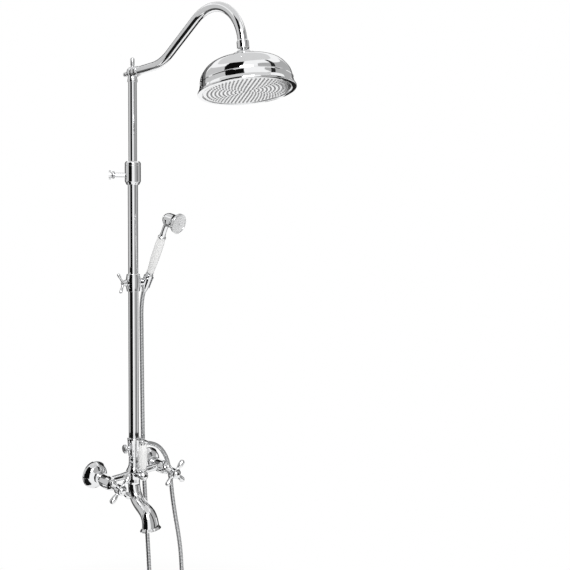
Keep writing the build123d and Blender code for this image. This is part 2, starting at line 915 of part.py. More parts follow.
plate_plane = Plane(origin=rim_centre, x_dir=(1, 0, 0), z_dir=-arm_fall).offset(plate_recess)
with BuildPart() as head_faceplate:
    with BuildSketch(plate_plane):
        Circle(head_plate_radius)
        for ring in range(1, nozzle_rings + 1):
            with PolarLocations(ring * nozzle_pitch, 6 * ring):
                Circle(nozzle_hole_radius, mode=Mode.SUBTRACT)
        Circle(nozzle_hole_radius, mode=Mode.SUBTRACT)
    extrude(amount=plate_thickness)
hand_in(head_faceplate, "head_faceplate")

# Slider on the column with its bush
slider_axis = axis_plane((0, column_y, slider_height), (0, 0, 1))
clamp_axis = axis_plane((0, column_y, slider_height), (-1, 0, 0))
pivot_axis = axis_plane((0, column_y, slider_height), (1, 0, 0))
bush_bore = lower_radius + running_gap
slider_bore = bush_bore + slider_bush_wall
clamp_screw_start = slider_bore
with BuildPart() as slider_body:
    turn(
        slider_axis,
        (0, -slider_half_height, 0),
        (slider_radius - 1.8, -slider_half_height, 1.2),
        (slider_radius, -slider_half_height * 0.5, 12),
        (slider_radius, slider_half_height * 0.5, 12),
        (slider_radius - 1.8, slider_half_height, 1.2),
        (0, slider_half_height, 0),
    )
    rod(clamp_axis, clamp_boss_radius, 0, clamp_boss_out)
    rod(pivot_axis, holder_boss_radius, 0, holder_boss_out)
    rod(slider_axis, slider_bore, -slider_half_height, slider_half_height, mode=Mode.SUBTRACT)
    rod(clamp_axis, clamp_screw_radius + running_gap, 0, clamp_boss_out, mode=Mode.SUBTRACT)
    rod(pivot_axis, pivot_radius + running_gap, 0, holder_boss_out, mode=Mode.SUBTRACT)
hand_in(slider_body, "slider_body")

with BuildPart() as slider_bush:
    rod(slider_axis, slider_bore, -slider_half_height, slider_half_height)
    rod(slider_axis, bush_bore, -slider_half_height, slider_half_height, mode=Mode.SUBTRACT)
hand_in(slider_bush, "slider_bush")

# Clamp screw with a stem and a cross bar
clamp_stem_start = clamp_boss_out + end_gap
clamp_stem_end = clamp_stem_start + clamp_stem_length
clamp_bar_out = clamp_stem_end - clamp_bar_radius - clamp_stem_tip
with BuildPart() as clamp_screw:
    rod(clamp_axis, clamp_screw_radius, clamp_screw_start + end_gap, clamp_stem_start)
hand_in(clamp_screw, "clamp_screw")

clamp_bar_angle = radians(clamp_bar_turn)
clamp_sweep_angle = radians(clamp_bar_sweep)
clamp_bar_rise = cos(clamp_sweep_angle)
with BuildPart() as clamp_knob:
    turn(
        clamp_axis,
        (0, clamp_stem_start, 0),
        (clamp_stem_radius, clamp_stem_start, 0.8),
        (clamp_stem_tip_radius, clamp_stem_end - 2, 2),
        (clamp_stem_tip_radius * 0.6, clamp_stem_end, 1.5),
        (0, clamp_stem_end, 0),
    )
    for sense in (-1, 1):
        clamp_bar_axis = axis_plane(
            (-clamp_bar_out, column_y, slider_height),
            (
                -sin(clamp_sweep_angle),
                sense * sin(clamp_bar_angle) * clamp_bar_rise,
                sense * cos(clamp_bar_angle) * clamp_bar_rise,
            ),
        )
        turn(
            clamp_bar_axis,
            (0, 0, 0),
            (clamp_bar_radius, 0, 0),
            (clamp_bar_radius, clamp_bar_reach * 0.5, 8),
            (clamp_bar_end_radius, clamp_bar_reach * 0.75, 8),
            (clamp_bar_end_radius, clamp_bar_reach, clamp_bar_end_radius * 0.9),
            (0, clamp_bar_reach, 0),
        )
hand_in(clamp_knob, "clamp_knob")

# Holder for the handset on the slider's pivot
lean = radians(handset_lean)
handset_dir = Vector(0, -sin(lean), cos(lean))
handset_front = Vector(0, -cos(lean), -sin(lean))
holder_centre = Vector(holder_side, column_y - holder_out, slider_height)
handset_axis = axis_plane(holder_centre, tuple(handset_dir))
tail_taper = (tail_top_radius - tail_bottom_radius) / (tail_top - tail_bottom)


def tail_radius(along):
    """Radius of the handset's tapered tail at a place on its axis."""
    return tail_bottom_radius + tail_taper * (along - tail_bottom)


holder_back_out = holder_boss_out + end_gap
holder_low_bore = tail_radius(-holder_half_length) + running_gap
holder_high_bore = tail_radius(holder_half_length) + running_gap
with BuildPart() as holder_cup:
    turn(
        handset_axis,
        (0, -holder_half_length, 0),
        (holder_low_bore + holder_wall, -holder_half_length, 1),
        (holder_high_bore + holder_wall, holder_half_length, 1),
        (0, holder_half_length, 0),
    )
    rod(pivot_axis, holder_boss_radius, holder_back_out, holder_side - holder_low_bore)
    turn(
        handset_axis,
        (0, -holder_half_length, 0),
        (holder_low_bore, -holder_half_length, 0),
        (holder_high_bore, holder_half_length, 0),
        (0, holder_half_length, 0),
        mode=Mode.SUBTRACT,
    )
    slot_plane = Plane(origin=holder_centre, x_dir=(1, 0, 0), z_dir=handset_front)
    with BuildSketch(slot_plane):
        Rectangle(holder_slot, holder_half_length * 3)
    extrude(amount=holder_high_bore * 2, mode=Mode.SUBTRACT)
    rod(pivot_axis, pivot_radius, 0, holder_back_out + pivot_grip, mode=Mode.SUBTRACT)
hand_in(holder_cup, "holder_cup")

with BuildPart() as holder_pivot:
    rod(pivot_axis, pivot_radius, slider_bore + end_gap, holder_back_out + pivot_grip)
hand_in(holder_pivot, "holder_pivot")

# Handset
with BuildPart() as handset_tail:
    turn(
        handset_axis,
        (0, tail_bottom, 0),
        (tail_bottom_radius, tail_bottom, 0),
        (tail_top_radius, tail_top, 0),
        (tail_top_radius - 2, tail_top + 1.5, 1),
        (tail_top_radius - 1.6, grip_bottom - 2, 1),
        (grip_bottom_radius + 0.6, grip_bottom - 1, 0.4),
        (grip_bottom_radius + 0.6, grip_bottom, 0),
        (0, grip_bottom, 0),
    )
hand_in(handset_tail, "handset_tail")

with BuildPart() as handset_grip:
    turn(
        handset_axis,
        (0, grip_bottom, 0),
        (grip_bottom_radius, grip_bottom, 0.8),
        (grip_belly_radius, grip_bottom + (grip_top - grip_bottom) * 0.42, 70),
        (grip_belly_radius, grip_bottom + (grip_top - grip_bottom) * 0.8, 40),
        (grip_top_radius, grip_top, 1),
        (0, grip_top, 0),
    )
hand_in(handset_grip, "handset_grip")

handset_ferrule_top = grip_top + handset_ferrule_length
with BuildPart() as handset_ferrule:
    turn(
        handset_axis,
        (0, grip_top, 0),
        (handset_ferrule_radius, grip_top, 0.8),
        (handset_ferrule_radius, grip_top + handset_ferrule_length * 0.5, 1),
        (handset_ferrule_radius - 2.4, handset_ferrule_top, 0.5),
        (0, handset_ferrule_top, 0),
    )
hand_in(handset_ferrule, "handset_ferrule")

face_level = Vector(0, -cos(radians(face_tilt)), -sin(radians(face_tilt)))
grip_line = Axis((0, 0, 0), tuple(handset_dir))
face_dir = face_level.rotate(grip_line, face_turn)
side_dir = Vector(-1, 0, 0).rotate(grip_line, face_turn)
bulb_centre = holder_centre + handset_dir * bulb_height + face_dir * bulb_front
face_axis = axis_plane(bulb_centre, tuple(face_dir))
side_axis = axis_plane(bulb_centre, tuple(side_dir))
face_plate_back = face_out - face_plate_thickness
side_cap_start = bulb_radius - side_cap_height
with BuildPart() as handset_head:
    turn(
        handset_axis,
        (0, handset_ferrule_top, 0),
        (handset_ferrule_radius - 2.4, handset_ferrule_top, 0),
        (handset_neck_radius, handset_ferrule_top + 8, 12),
        (handset_neck_radius, bulb_height - bulb_radius * 0.9, 8),
        (handset_neck_radius + 3, bulb_height - bulb_radius * 0.5, 0),
        (0, bulb_height - bulb_radius * 0.5, 0),
    )
    with Locations(bulb_centre):
        Sphere(bulb_radius)
    turn(
        face_axis,
        (0, 0, 0),
        (bulb_radius, 0, 0),
        (bulb_radius + 1, face_out * 0.5, 12),
        (face_radius - 1, face_out - face_rim - 2, 3),
        (face_radius, face_out - face_rim, 1),
        (face_radius, face_out, 1),
        (0, face_out, 0),
    )
    rod(face_axis, face_plate_radius, face_plate_back, face_out, mode=Mode.SUBTRACT)
    rod(side_axis, side_cap_radius, side_cap_start, bulb_radius * 2, mode=Mode.SUBTRACT)
hand_in(handset_head, "handset_head")

with BuildPart() as handset_side_cap:
    turn(
        side_axis,
        (0, side_cap_start, 0),
        (side_cap_radius, side_cap_start, 0),
        (side_cap_radius, side_cap_start + side_cap_height, 1),
        (side_cap_radius * 0.5, side_cap_start + side_cap_height * 1.5, 2),
        (0, side_cap_start + side_cap_height * 1.5, 0),
    )
hand_in(handset_side_cap, "handset_side_cap")

face_plane = Plane(origin=bulb_centre + face_dir * face_plate_back, x_dir=(1, 0, 0), z_dir=face_dir)
with BuildPart() as handset_faceplate:
    with BuildSketch(face_plane):
        Circle(face_plate_radius)
        for ring in range(1, face_rings + 1):
            with PolarLocations(ring * face_pitch, 6 * ring):
                Circle(face_hole_radius, mode=Mode.SUBTRACT)
        Circle(face_hole_radius, mode=Mode.SUBTRACT)
    extrude(amount=face_plate_thickness * 0.8)
hand_in(handset_faceplate, "handset_faceplate")

tail_nut_end = tail_bottom - tail_nut_length
with BuildPart() as tail_nut:
    turn(
        handset_axis,
        (0, tail_bottom, 0),
        (tail_nut_radius, tail_bottom, 0.6),
        (tail_nut_radius, tail_bottom - tail_nut_length * 0.4, 1.5),
        (hose_radius + hose_crimp, tail_nut_end, 0.6),
        (0, tail_nut_end, 0),
    )
hand_in(tail_nut, "tail_nut")

# Hose: from the handset down behind the column, round a hanging loop and up to the outlet
hose_top = holder_centre + handset_dir * tail_nut_end
outlet_heading = Vector(cos(radians(outlet_dip)), 0, -sin(radians(outlet_dip)))
hose_outlet = Vector(0, column_y, outlet_height) + outlet_heading * hose_nut_end


def hung(side, height, behind=0.0):
    """A point of the hose by its side and height, level with the column or behind it."""
    return Vector(side, column_y + behind, height)


hose_split = hung(94, -359)
upper_route = [
    hose_top,
    hose_top - handset_dir * hose_top_run,
    hung(37, 330, 22),
    hung(41, 70, 24),
    hung(42, -10, 22),
    hung(43, -90, 16),
    hung(43, -170, 8),
    hung(44, -250, 2),
    hung(45, -330),
    hung(74, -359),
    hose_split,
]
lower_route = [
    hose_split,
    hung(114, -359),
    hung(143, -330),
    hung(136, -215),
    hung(114, -105),
    hung(105, -27),
    hung(96, 13),
    hung(79, 41),
    hose_outlet + outlet_heading * hose_outlet_run,
    hose_outlet,
]
hose_route = upper_route[:-1] + lower_route[1:]


def bend_radius(route, index):
    """The largest arc that the two runs at a corner of the hose allow."""
    before = route[index] - route[index - 1]
    after = route[index + 1] - route[index]
    half_turn = radians(before.get_angle(after)) / 2
    return hose_share * min(before.length, after.length) / tan(half_turn)


bends = [bend_radius(hose_route, index) for index in range(1, len(hose_route) - 1)]
upper_bends = bends[: len(upper_route) - 2]
lower_bends = bends[len(upper_route) - 2 :]
print("hose bend radii:", [round(bend, 1) for bend in bends])

with BuildPart() as hose_riser:
    with BuildLine() as upper_line:
        FilletPolyline(*upper_route, radius=upper_bends)
    with BuildSketch(Plane(origin=hose_top, z_dir=-handset_dir)):
        Circle(hose_radius)
    sweep(path=upper_line.wires()[0])
hand_in(hose_riser, "hose_riser")
print("hose riser length:", round(upper_line.wires()[0].length, 1))

with BuildPart() as hose_feed:
    with BuildLine() as lower_line:
        FilletPolyline(*lower_route, radius=lower_bends)
    with BuildSketch(Plane(origin=hose_split, z_dir=(1, 0, 0))):
        Circle(hose_radius)
    sweep(path=lower_line.wires()[0])
hand_in(hose_feed, "hose_feed")
print("hose feed length:", round(lower_line.wires()[0].length, 1))
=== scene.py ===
"""Looks of a wall-mounted rainfall shower column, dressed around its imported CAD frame.

Every object is in metres in the frame of the CAD: the origin lies on the wall midway between
the two inlets, X runs along the wall, +Y goes into the wall and Z is up.
"""

from __future__ import annotations

import json
import logging
import math
from dataclasses import dataclass, field
from enum import Enum

import bmesh
import bpy
import numpy as np
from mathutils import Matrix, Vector

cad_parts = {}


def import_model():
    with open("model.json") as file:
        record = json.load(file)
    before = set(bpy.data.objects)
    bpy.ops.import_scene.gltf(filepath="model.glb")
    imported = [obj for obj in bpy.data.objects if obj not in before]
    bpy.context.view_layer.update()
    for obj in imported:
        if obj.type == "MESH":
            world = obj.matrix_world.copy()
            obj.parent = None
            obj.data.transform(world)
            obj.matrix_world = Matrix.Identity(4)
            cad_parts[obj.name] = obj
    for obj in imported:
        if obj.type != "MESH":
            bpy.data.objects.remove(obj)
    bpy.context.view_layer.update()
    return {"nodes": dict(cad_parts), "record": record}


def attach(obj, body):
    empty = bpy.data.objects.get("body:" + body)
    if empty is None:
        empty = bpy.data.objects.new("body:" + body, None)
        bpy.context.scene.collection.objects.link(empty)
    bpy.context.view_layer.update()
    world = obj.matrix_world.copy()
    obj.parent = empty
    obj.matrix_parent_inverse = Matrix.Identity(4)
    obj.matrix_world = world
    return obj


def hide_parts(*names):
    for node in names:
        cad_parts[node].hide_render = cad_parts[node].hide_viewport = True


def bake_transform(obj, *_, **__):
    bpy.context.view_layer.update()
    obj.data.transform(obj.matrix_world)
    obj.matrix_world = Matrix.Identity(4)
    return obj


LOG = logging.getLogger("shower_column")
MILLIMETRE = 0.001
PHOTO_PIXELS = 570
SENSOR_MM = 36.0
WHITE = (1.0, 1.0, 1.0, 1.0)
NOISE_RANGE = (0.25, 0.75)
TONE_STOPS = (0.3, 0.7)
# Point attribute that carries painted shade: low in the grooves, where the finishes paint their dark tone.
CREST_SHADE = "crest"
INLETS = ("left_inlet_union", "right_inlet_union")
HOSES = ("hose_feed", "hose_riser")

Rgb = tuple[float, float, float]
Point = tuple[float, float, float]


def rgba(colour: Rgb) -> tuple[float, float, float, float]:
    """Gives an opaque colour for a shader socket."""
    return (*colour, 1.0)


def unit(vector: np.ndarray) -> np.ndarray:
    """Scales each row of an array of vectors to length one."""
    return vector / np.linalg.norm(vector, axis=-1, keepdims=True)


def full_turn(count: int) -> np.ndarray:
    """Gives evenly spaced angles once round a circle."""
    return np.arange(count) * 2 * np.pi / count


class ShaderGraph:
    """A small helper around one material's node tree."""

    def __init__(self, name: str) -> None:
        """Starts an empty material with a Principled shader.

        Args:
            name: The material's name.
        """
        self.material = bpy.data.materials.new(name)
        self.material.use_nodes = True
        self.nodes = self.material.node_tree.nodes
        self.links = self.material.node_tree.links
        self.nodes.clear()
        self.output = self.nodes.new("ShaderNodeOutputMaterial")
        self.shader = self.nodes.new("ShaderNodeBsdfPrincipled")
        self.links.new(self.shader.outputs["BSDF"], self.output.inputs["Surface"])
        self.coordinates = self.nodes.new("ShaderNodeTexCoord")

    def noise(self, scale: float, detail: float, stretch: Point = (1.0, 1.0, 1.0)) -> bpy.types.NodeSocket:
        """Adds a noise on Object coordinates.

        Args:
            scale: Noise cells per metre.
            detail: Octaves of finer noise.
            stretch: Scale of each axis before the noise.

        Returns:
            The noise value's socket.
        """
        mapping = self.nodes.new("ShaderNodeMapping")
        mapping.inputs["Scale"].default_value = stretch
        noise = self.nodes.new("ShaderNodeTexNoise")
        noise.inputs["Scale"].default_value = scale
        noise.inputs["Detail"].default_value = detail
        self.links.new(self.coordinates.outputs["Object"], mapping.inputs["Vector"])
        self.links.new(mapping.outputs["Vector"], noise.inputs["Vector"])
        return noise.outputs["Fac"]

    def attribute(self, name: str) -> bpy.types.NodeSocket:
        """Reads one of the mesh's own attributes.

        Args:
            name: The attribute's name.

        Returns:
            Its value's socket.
        """
        reader = self.nodes.new("ShaderNodeAttribute")
        reader.attribute_name = name
        return reader.outputs["Fac"]

    def span(self, value: bpy.types.NodeSocket, low: float, high: float) -> bpy.types.NodeSocket:
        """Maps the usual range of a noise to another range.

        Args:
            value: The socket to map.
            low: Result at the lower end.
            high: Result at the upper end.

        Returns:
            The mapped value's socket.
        """
        node = self.nodes.new("ShaderNodeMapRange")
        node.inputs["From Min"].default_value = NOISE_RANGE[0]
        node.inputs["From Max"].default_value = NOISE_RANGE[1]
        node.inputs["To Min"].default_value = low
        node.inputs["To Max"].default_value = high
        self.links.new(value, node.inputs["Value"])
        return node.outputs["Result"]

    def tint(self, value: bpy.types.NodeSocket, dark: Rgb, light: Rgb) -> None:
        """Colours the surface between two tones.

        Args:
            value: The socket that chooses between the tones.
            dark: Tone where the value is low.
            light: Tone where the value is high.
        """
        ramp = self.nodes.new("ShaderNodeValToRGB")
        for element, stop, tone in zip(ramp.color_ramp.elements, TONE_STOPS, (dark, light)):
            element.position = stop
            element.color = rgba(tone)
        self.links.new(value, ramp.inputs["Fac"])
        self.links.new(ramp.outputs["Color"], self.shader.inputs["Base Color"])

    def bump(self, value: bpy.types.NodeSocket, strength: float, depth: float) -> None:
        """Raises the surface with a value.

        Args:
            value: The height's socket.
            strength: Share of the effect.
            depth: Height of the relief in metres.
        """
        node = self.nodes.new("ShaderNodeBump")
        node.inputs["Strength"].default_value = strength
        node.inputs["Distance"].default_value = depth
        self.links.new(value, node.inputs["Height"])
        self.links.new(node.outputs["Normal"], self.shader.inputs["Normal"])


@dataclass(frozen=True)
class Finish:
    """A procedural finish: two tones, gloss that wanders a little and a fine relief; painted shade in grooves
    where an attribute picks the tone.
    """

    name: str
    slot: str
    dark: Rgb
    light: Rgb
    metallic: float
    roughness: tuple[float, float]
    grain_scale: float
    grain_stretch: Point = (1.0, 1.0, 1.0)
    relief_strength: float = 0.0
    relief_depth: float = 0.0
    coat: float = 0.0
    ior: float = 1.5
    # Attribute that picks the tone in place of the grain; the finishes that use it have painted shade in
    # their grooves.
    groove_shade_attribute: str = ""
    grain_detail: float = 5.0
    smear_ratio: float = 0.12
    smear_detail: float = 3.0
    coat_roughness: float = 0.04

    def material(self) -> bpy.types.Material:
        """Builds the finish's material, once.

        Returns:
            The material.
        """
        found = bpy.data.materials.get(self.name)
        if found is not None:
            return found
        graph = ShaderGraph(self.name)
        shader = graph.shader
        shader.inputs["Metallic"].default_value = self.metallic
        shader.inputs["IOR"].default_value = self.ior
        shader.inputs["Coat Weight"].default_value = self.coat
        shader.inputs["Coat Roughness"].default_value = self.coat_roughness
        grain = graph.noise(self.grain_scale, self.grain_detail, self.grain_stretch)
        # With a groove attribute the dark tone falls in the grooves: painted shade.
        tone = graph.attribute(self.groove_shade_attribute) if self.groove_shade_attribute else grain
        graph.tint(tone, self.dark, self.light)
        smear = graph.noise(self.grain_scale * self.smear_ratio, self.smear_detail)
        graph.links.new(graph.span(smear, *self.roughness), shader.inputs["Roughness"])
        if self.relief_strength:
            graph.bump(grain, self.relief_strength, self.relief_depth)
        return graph.material


class Surface(Enum):
    """The finishes of the shower column."""

    CHROME = Finish(
        "polished_chrome", "chrome", (0.87, 0.875, 0.885), (0.9, 0.905, 0.91), 1.0, (0.02, 0.04), 160.0,
    )
    # The winding's dark tone is painted shade in the grooves between its turns; the light tone is its chrome
    # crests.
    WINDING = Finish(
        "hose_winding", "chrome", (0.07, 0.072, 0.075), (0.84, 0.85, 0.86), 1.0, (0.08, 0.16), 220.0,
        groove_shade_attribute=CREST_SHADE,
    )
    PORCELAIN = Finish(
        "glazed_porcelain", "porcelain", (0.88, 0.88, 0.875), (0.92, 0.92, 0.915), 0.0, (0.06, 0.1), 14.0,
        coat=0.4,
    )
    BRASS = Finish(
        "turned_brass", "brass", (0.55, 0.4, 0.17), (0.75, 0.58, 0.28), 1.0, (0.18, 0.34), 300.0,
        grain_stretch=(1.0, 8.0, 1.0), relief_strength=0.12, relief_depth=0.0002,
    )
    SATIN_STEEL = Finish(
        "satin_steel", "steel", (0.84, 0.845, 0.85), (0.91, 0.915, 0.92), 1.0, (0.09, 0.17), 260.0,
        grain_stretch=(1.0, 6.0, 1.0), relief_strength=0.05, relief_depth=0.0001,
    )
    # The weave's dark tone is painted shade in the gaps between the wires; the light tone is the wires.
    SCREEN = Finish(
        "aerator_weave", "steel", (0.06, 0.06, 0.06), (0.62, 0.62, 0.63), 1.0, (0.25, 0.4), 300.0,
        groove_shade_attribute=CREST_SHADE,
    )
    RUBBER = Finish(
        "moulded_rubber", "rubber", (0.02, 0.02, 0.021), (0.045, 0.045, 0.046), 0.0, (0.55, 0.8), 420.0,
        relief_strength=0.3, relief_depth=0.0002,
    )
    NOZZLE = Finish(
        "nozzle_silicone", "rubber", (0.34, 0.34, 0.345), (0.46, 0.46, 0.465), 0.0, (0.4, 0.6), 500.0,
        relief_strength=0.15, relief_depth=0.0001,
    )
    NYLON = Finish(
        "moulded_nylon", "nylon", (0.68, 0.68, 0.65), (0.8, 0.8, 0.77), 0.0, (0.38, 0.56), 380.0,
        relief_strength=0.18, relief_depth=0.0002,
    )

    def material(self) -> bpy.types.Material:
        """Gives the finish's material."""
        return self.value.material()


SLOT_SURFACES = {
    "chrome": Surface.CHROME,
    "porcelain": Surface.PORCELAIN,
    "brass": Surface.BRASS,
    "steel": Surface.SATIN_STEEL,
    "rubber": Surface.RUBBER,
    "nylon": Surface.NYLON,
}
# The spool's neck shows between its knob and the sleeve, and is plated like them.
NODE_SURFACES = {"diverter_spool": Surface.CHROME}


def smooth_mesh(name: str, points: np.ndarray, faces: list[list[int]]) -> bpy.types.Mesh:
    """Makes a smoothly shaded mesh.

    Args:
        name: The mesh's name.
        points: Array whose last axis holds three coordinates.
        faces: Indices of each face's points.

    Returns:
        The mesh.
    """
    mesh = bpy.data.meshes.new(name)
    mesh.from_pydata(points.reshape(-1, 3).tolist(), [], faces)
    mesh.polygons.foreach_set("use_smooth", np.ones(len(mesh.polygons), dtype=bool))
    mesh.update()
    return mesh


def grid_mesh(name: str, points: np.ndarray, closed_ends: bool, looped: bool = False) -> bpy.types.Mesh:
    """Makes a mesh from a grid of points: rows along the shape, columns once round it.

    Args:
        name: The mesh's name.
        points: Array of rows, columns and three coordinates.
        closed_ends: Whether the first and the last row are filled.
        looped: Whether the last row joins the first one.

    Returns:
        The mesh, smooth and with outward faces.
    """
    rows, columns, _ = points.shape
    index = np.arange(rows * columns).reshape(rows, columns)
    near = index if looped else index[:-1]
    far = np.roll(index, -1, axis=0) if looped else index[1:]
    corners = [near, np.roll(near, -1, axis=1), np.roll(far, -1, axis=1), far]
    faces = np.stack(corners, axis=-1).reshape(-1, 4).tolist()
    if closed_ends:
        faces += [index[0, ::-1].tolist(), index[-1].tolist()]
    return smooth_mesh(name, points, faces)


def mark_crest_shade(mesh: bpy.types.Mesh, crest: np.ndarray) -> None:
    """Keeps how near each point lies to a crest, for the finishes that paint shade into their grooves.

    Args:
        mesh: The mesh.
        crest: A value from 0 in the groove to 1 on the crest, for each point.
    """
    shade = mesh.attributes.new(CREST_SHADE, "FLOAT", "POINT")
    shade.data.foreach_set("value", crest.astype(np.float32).ravel())


def crisp(source: bpy.types.Mesh, target: bpy.types.Mesh, crease: float, weld: float = 0.0) -> None:
    """Copies a mesh, smoothly shaded, with sharp edges where its faces turn by more than a crease.

    Args:
        source: The mesh to read.
        target: The mesh to write, which may be the same one.
        crease: The least turn of a sharp edge.
        weld: Distance below which points are joined, or 0 to leave them.
    """
    work = bmesh.new()
    work.from_mesh(source)
    if weld:
        bmesh.ops.remove_doubles(work, verts=work.verts, dist=weld)
    for edge in work.edges:
        edge.smooth = edge.calc_face_angle(math.pi) < crease
    for face in work.faces:
        face.smooth = True
    work.to_mesh(target)
    work.free()


def outer_face(plate: bpy.types.Object) -> tuple[np.ndarray, np.ndarray, np.ndarray]:
    """Finds the outer face of a flat plate: it looks down along the direction of least spread.

    Args:
        plate: The plate's CAD node.

    Returns:
        The middle of the face, the direction it looks in and the plate's points from that middle.
    """
    points = np.empty(len(plate.data.vertices) * 3)
    plate.data.vertices.foreach_get("co", points)
    points = points.reshape(-1, 3)
    middle = (points.min(axis=0) + points.max(axis=0)) / 2
    facing = np.linalg.eigh(np.cov((points - middle).T))[1][:, 0]
    facing = facing * -np.sign(facing[2])
    centre = middle + facing * ((points - middle) @ facing).max()
    return centre, facing, points - centre


def face_axes(facing: np.ndarray) -> tuple[np.ndarray, np.ndarray]:
    """Gives two directions in a face, the first one as near to the wall's own line as it can be."""
    sideways = np.array([1.0, 0.0, 0.0])
    across = unit(sideways - facing * (facing @ sideways))
    return across, np.cross(facing, across)


def place(name: str, mesh: bpy.types.Mesh, surface: Surface) -> bpy.types.Object:
    """Puts a mesh into the scene with its finish.

    Args:
        name: The object's name.
        mesh: Its mesh, already in the shared frame.
        surface: Its finish.

    Returns:
        The object, at the origin.
    """
    mesh.materials.append(surface.material())
    piece = bpy.data.objects.new(name, mesh)
    bpy.context.collection.objects.link(piece)
    return piece


@dataclass
class PolishedFrame:
    """Welded copies of the CAD nodes with smooth curves and crisp edges."""

    nodes: dict[str, bpy.types.Object]
    bodies: dict[str, list[str]]
    slots: dict[str, str]
    hidden: tuple[str, ...]
    weld: float = 1e-6
    crease: float = math.radians(28.0)

    def smooth_copy(self, node: str, surface: Surface) -> bpy.types.Object:
        """Copies a node's mesh, welds its loose triangles and marks its creases.

        Args:
            node: The CAD node.
            surface: Its finish.

        Returns:
            The welded copy.
        """
        mesh = bpy.data.meshes.new(f"{node}_polished")
        crisp(self.nodes[node].data, mesh, self.crease, self.weld)
        return place(f"{node}_polished", mesh, surface)

    def dress(self) -> None:
        """Replaces each shown node with its welded copy in its finish."""
        for body, members in self.bodies.items():
            for node in members:
                surface = NODE_SURFACES.get(node, SLOT_SURFACES[self.slots[node]])
                self.nodes[node].data.materials.clear()
                self.nodes[node].data.materials.append(surface.material())
                if node in self.hidden:
                    continue
                copy = self.smooth_copy(node, surface)
                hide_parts(node)
                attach(copy, body)
        LOG.info("polished %d nodes", len(self.nodes))


@dataclass
class NozzlePlate:
    """Soft nozzles in rings under a perforated plate, and a bead round the plate's edge."""

    name: str
    body: str
    plate: bpy.types.Object
    pitch: float
    rings: int
    root_radius: float
    tip_radius: float
    height: float
    bead_radius: float
    bead_half: float
    jet_scale: float = 1.0
    sides: int = 8
    bead_steps: int = 120
    bead_sides: int = 12
    first_ring: int = 6
    # Width in tip radii and height in nozzle heights, from the shoulder into the jet.
    tip_profile: tuple[tuple[float, float], ...] = ((1.1, 0.7), (0.8, 1.0), (0.4, 1.0), (0.3, 0.6))

    def centres(self) -> np.ndarray:
        """Gives the places of the nozzles in the plate's plane: a ring k has 6 k of them, k pitches out.

        Returns:
            Array of two coordinates a nozzle.
        """
        places = [np.zeros((1, 2))]
        for ring in range(1, self.rings + 1):
            angle = full_turn(self.first_ring * ring)
            places.append(ring * self.pitch * np.stack([np.cos(angle), np.sin(angle)], axis=1))
        return np.concatenate(places)

    def build(self) -> bpy.types.Object:
        """Carries one nozzle's profile, a cone with a rounded tip, to every place, wider in the middle.

        Returns:
            The object of all nozzles.
        """
        centre, facing, _ = outer_face(self.plate)
        across, along = face_axes(facing)
        tip = [(self.tip_radius * wide, self.height * tall) for wide, tall in self.tip_profile]
        profile = np.array([(self.root_radius, 0.0), *tip])
        turn = full_turn(self.sides)
        ring = np.stack([np.cos(turn), np.sin(turn)], axis=1)
        places = self.centres()
        scale = np.where(np.arange(len(places)) == 0, self.jet_scale, 1.0)[:, None, None, None]
        flat = places[:, None, None, :] + scale * profile[None, :, None, :1] * ring[None, None, :, :]
        lift = np.broadcast_to(profile[None, :, None, 1], flat.shape[:3])
        points = centre + flat[..., :1] * across + flat[..., 1:] * along + lift[..., None] * facing
        count, rows, columns, _ = points.shape
        index = np.arange(count * rows * columns).reshape(count, rows, columns)
        nxt = np.roll(index, -1, axis=2)
        quads = np.stack([index[:, :-1], nxt[:, :-1], nxt[:, 1:], index[:, 1:]], axis=-1).reshape(-1, 4)
        floors = index[:, -1, :].tolist()
        mesh = smooth_mesh(self.name, points, quads.tolist() + floors)
        piece = place(self.name, mesh, Surface.NOZZLE)
        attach(piece, self.body)
        LOG.info("%s: %d nozzles", self.name, count)
        return piece

    def bead(self) -> bpy.types.Object:
        """Rolls a round bead along the plate's edge: a small circle carried round a circle in the face.

        Returns:
            The bead.
        """
        centre, facing, _ = outer_face(self.plate)
        across, along = face_axes(facing)
        turn = full_turn(self.bead_steps)[:, None, None]
        section = full_turn(self.bead_sides)[None, :, None]
        outward = np.cos(turn) * across + np.sin(turn) * along
        reach = self.bead_radius + self.bead_half * np.cos(section)
        points = centre + reach * outward - self.bead_half * np.sin(section) * facing
        mesh = grid_mesh(f"{self.name}_bead", points, closed_ends=False, looped=True)
        piece = place(f"{self.name}_bead", mesh, Surface.CHROME)
        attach(piece, self.body)
        return piece


@dataclass
class AeratorScreen:
    """The woven screen in the mouth of the spout."""

    plate: bpy.types.Object
    body: str
    pitch: float = 0.0016
    relief: float = 0.0005
    inset: float = 0.0008
    rings: int = 70
    columns: int = 220
    hub_share: float = 0.02
    groove_share: float = 0.2

    def build(self) -> bpy.types.Object:
        """Lays an oval disc of rings whose height follows the nearer of two crossing sets of wires.

        A wire's height is the squared cosine of the distance across it, once a pitch.

        Returns:
            The screen.
        """
        centre, facing, points = outer_face(self.plate)
        across, along = face_axes(facing)
        half_width = (points @ across).max() - self.inset
        half_depth = (points @ along).max() - self.inset
        share = np.linspace(1.0, self.hub_share, self.rings)[:, None]
        turn = full_turn(self.columns)
        wide = share * half_width * np.cos(turn)
        deep = share * half_depth * np.sin(turn)
        wires = np.maximum(np.cos(np.pi * wide / self.pitch) ** 2, np.cos(np.pi * deep / self.pitch) ** 2)
        lift = self.relief * (self.groove_share + (1 - self.groove_share) * wires)
        grid = centre + wide[..., None] * across + deep[..., None] * along + lift[..., None] * facing
        mesh = grid_mesh("aerator_screen", grid, closed_ends=False)
        # The wire height also sets the screen's tone: painted shade between the wires.
        mark_crest_shade(mesh, wires)
        screen = place("aerator_screen", mesh, Surface.SCREEN)
        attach(screen, self.body)
        return screen


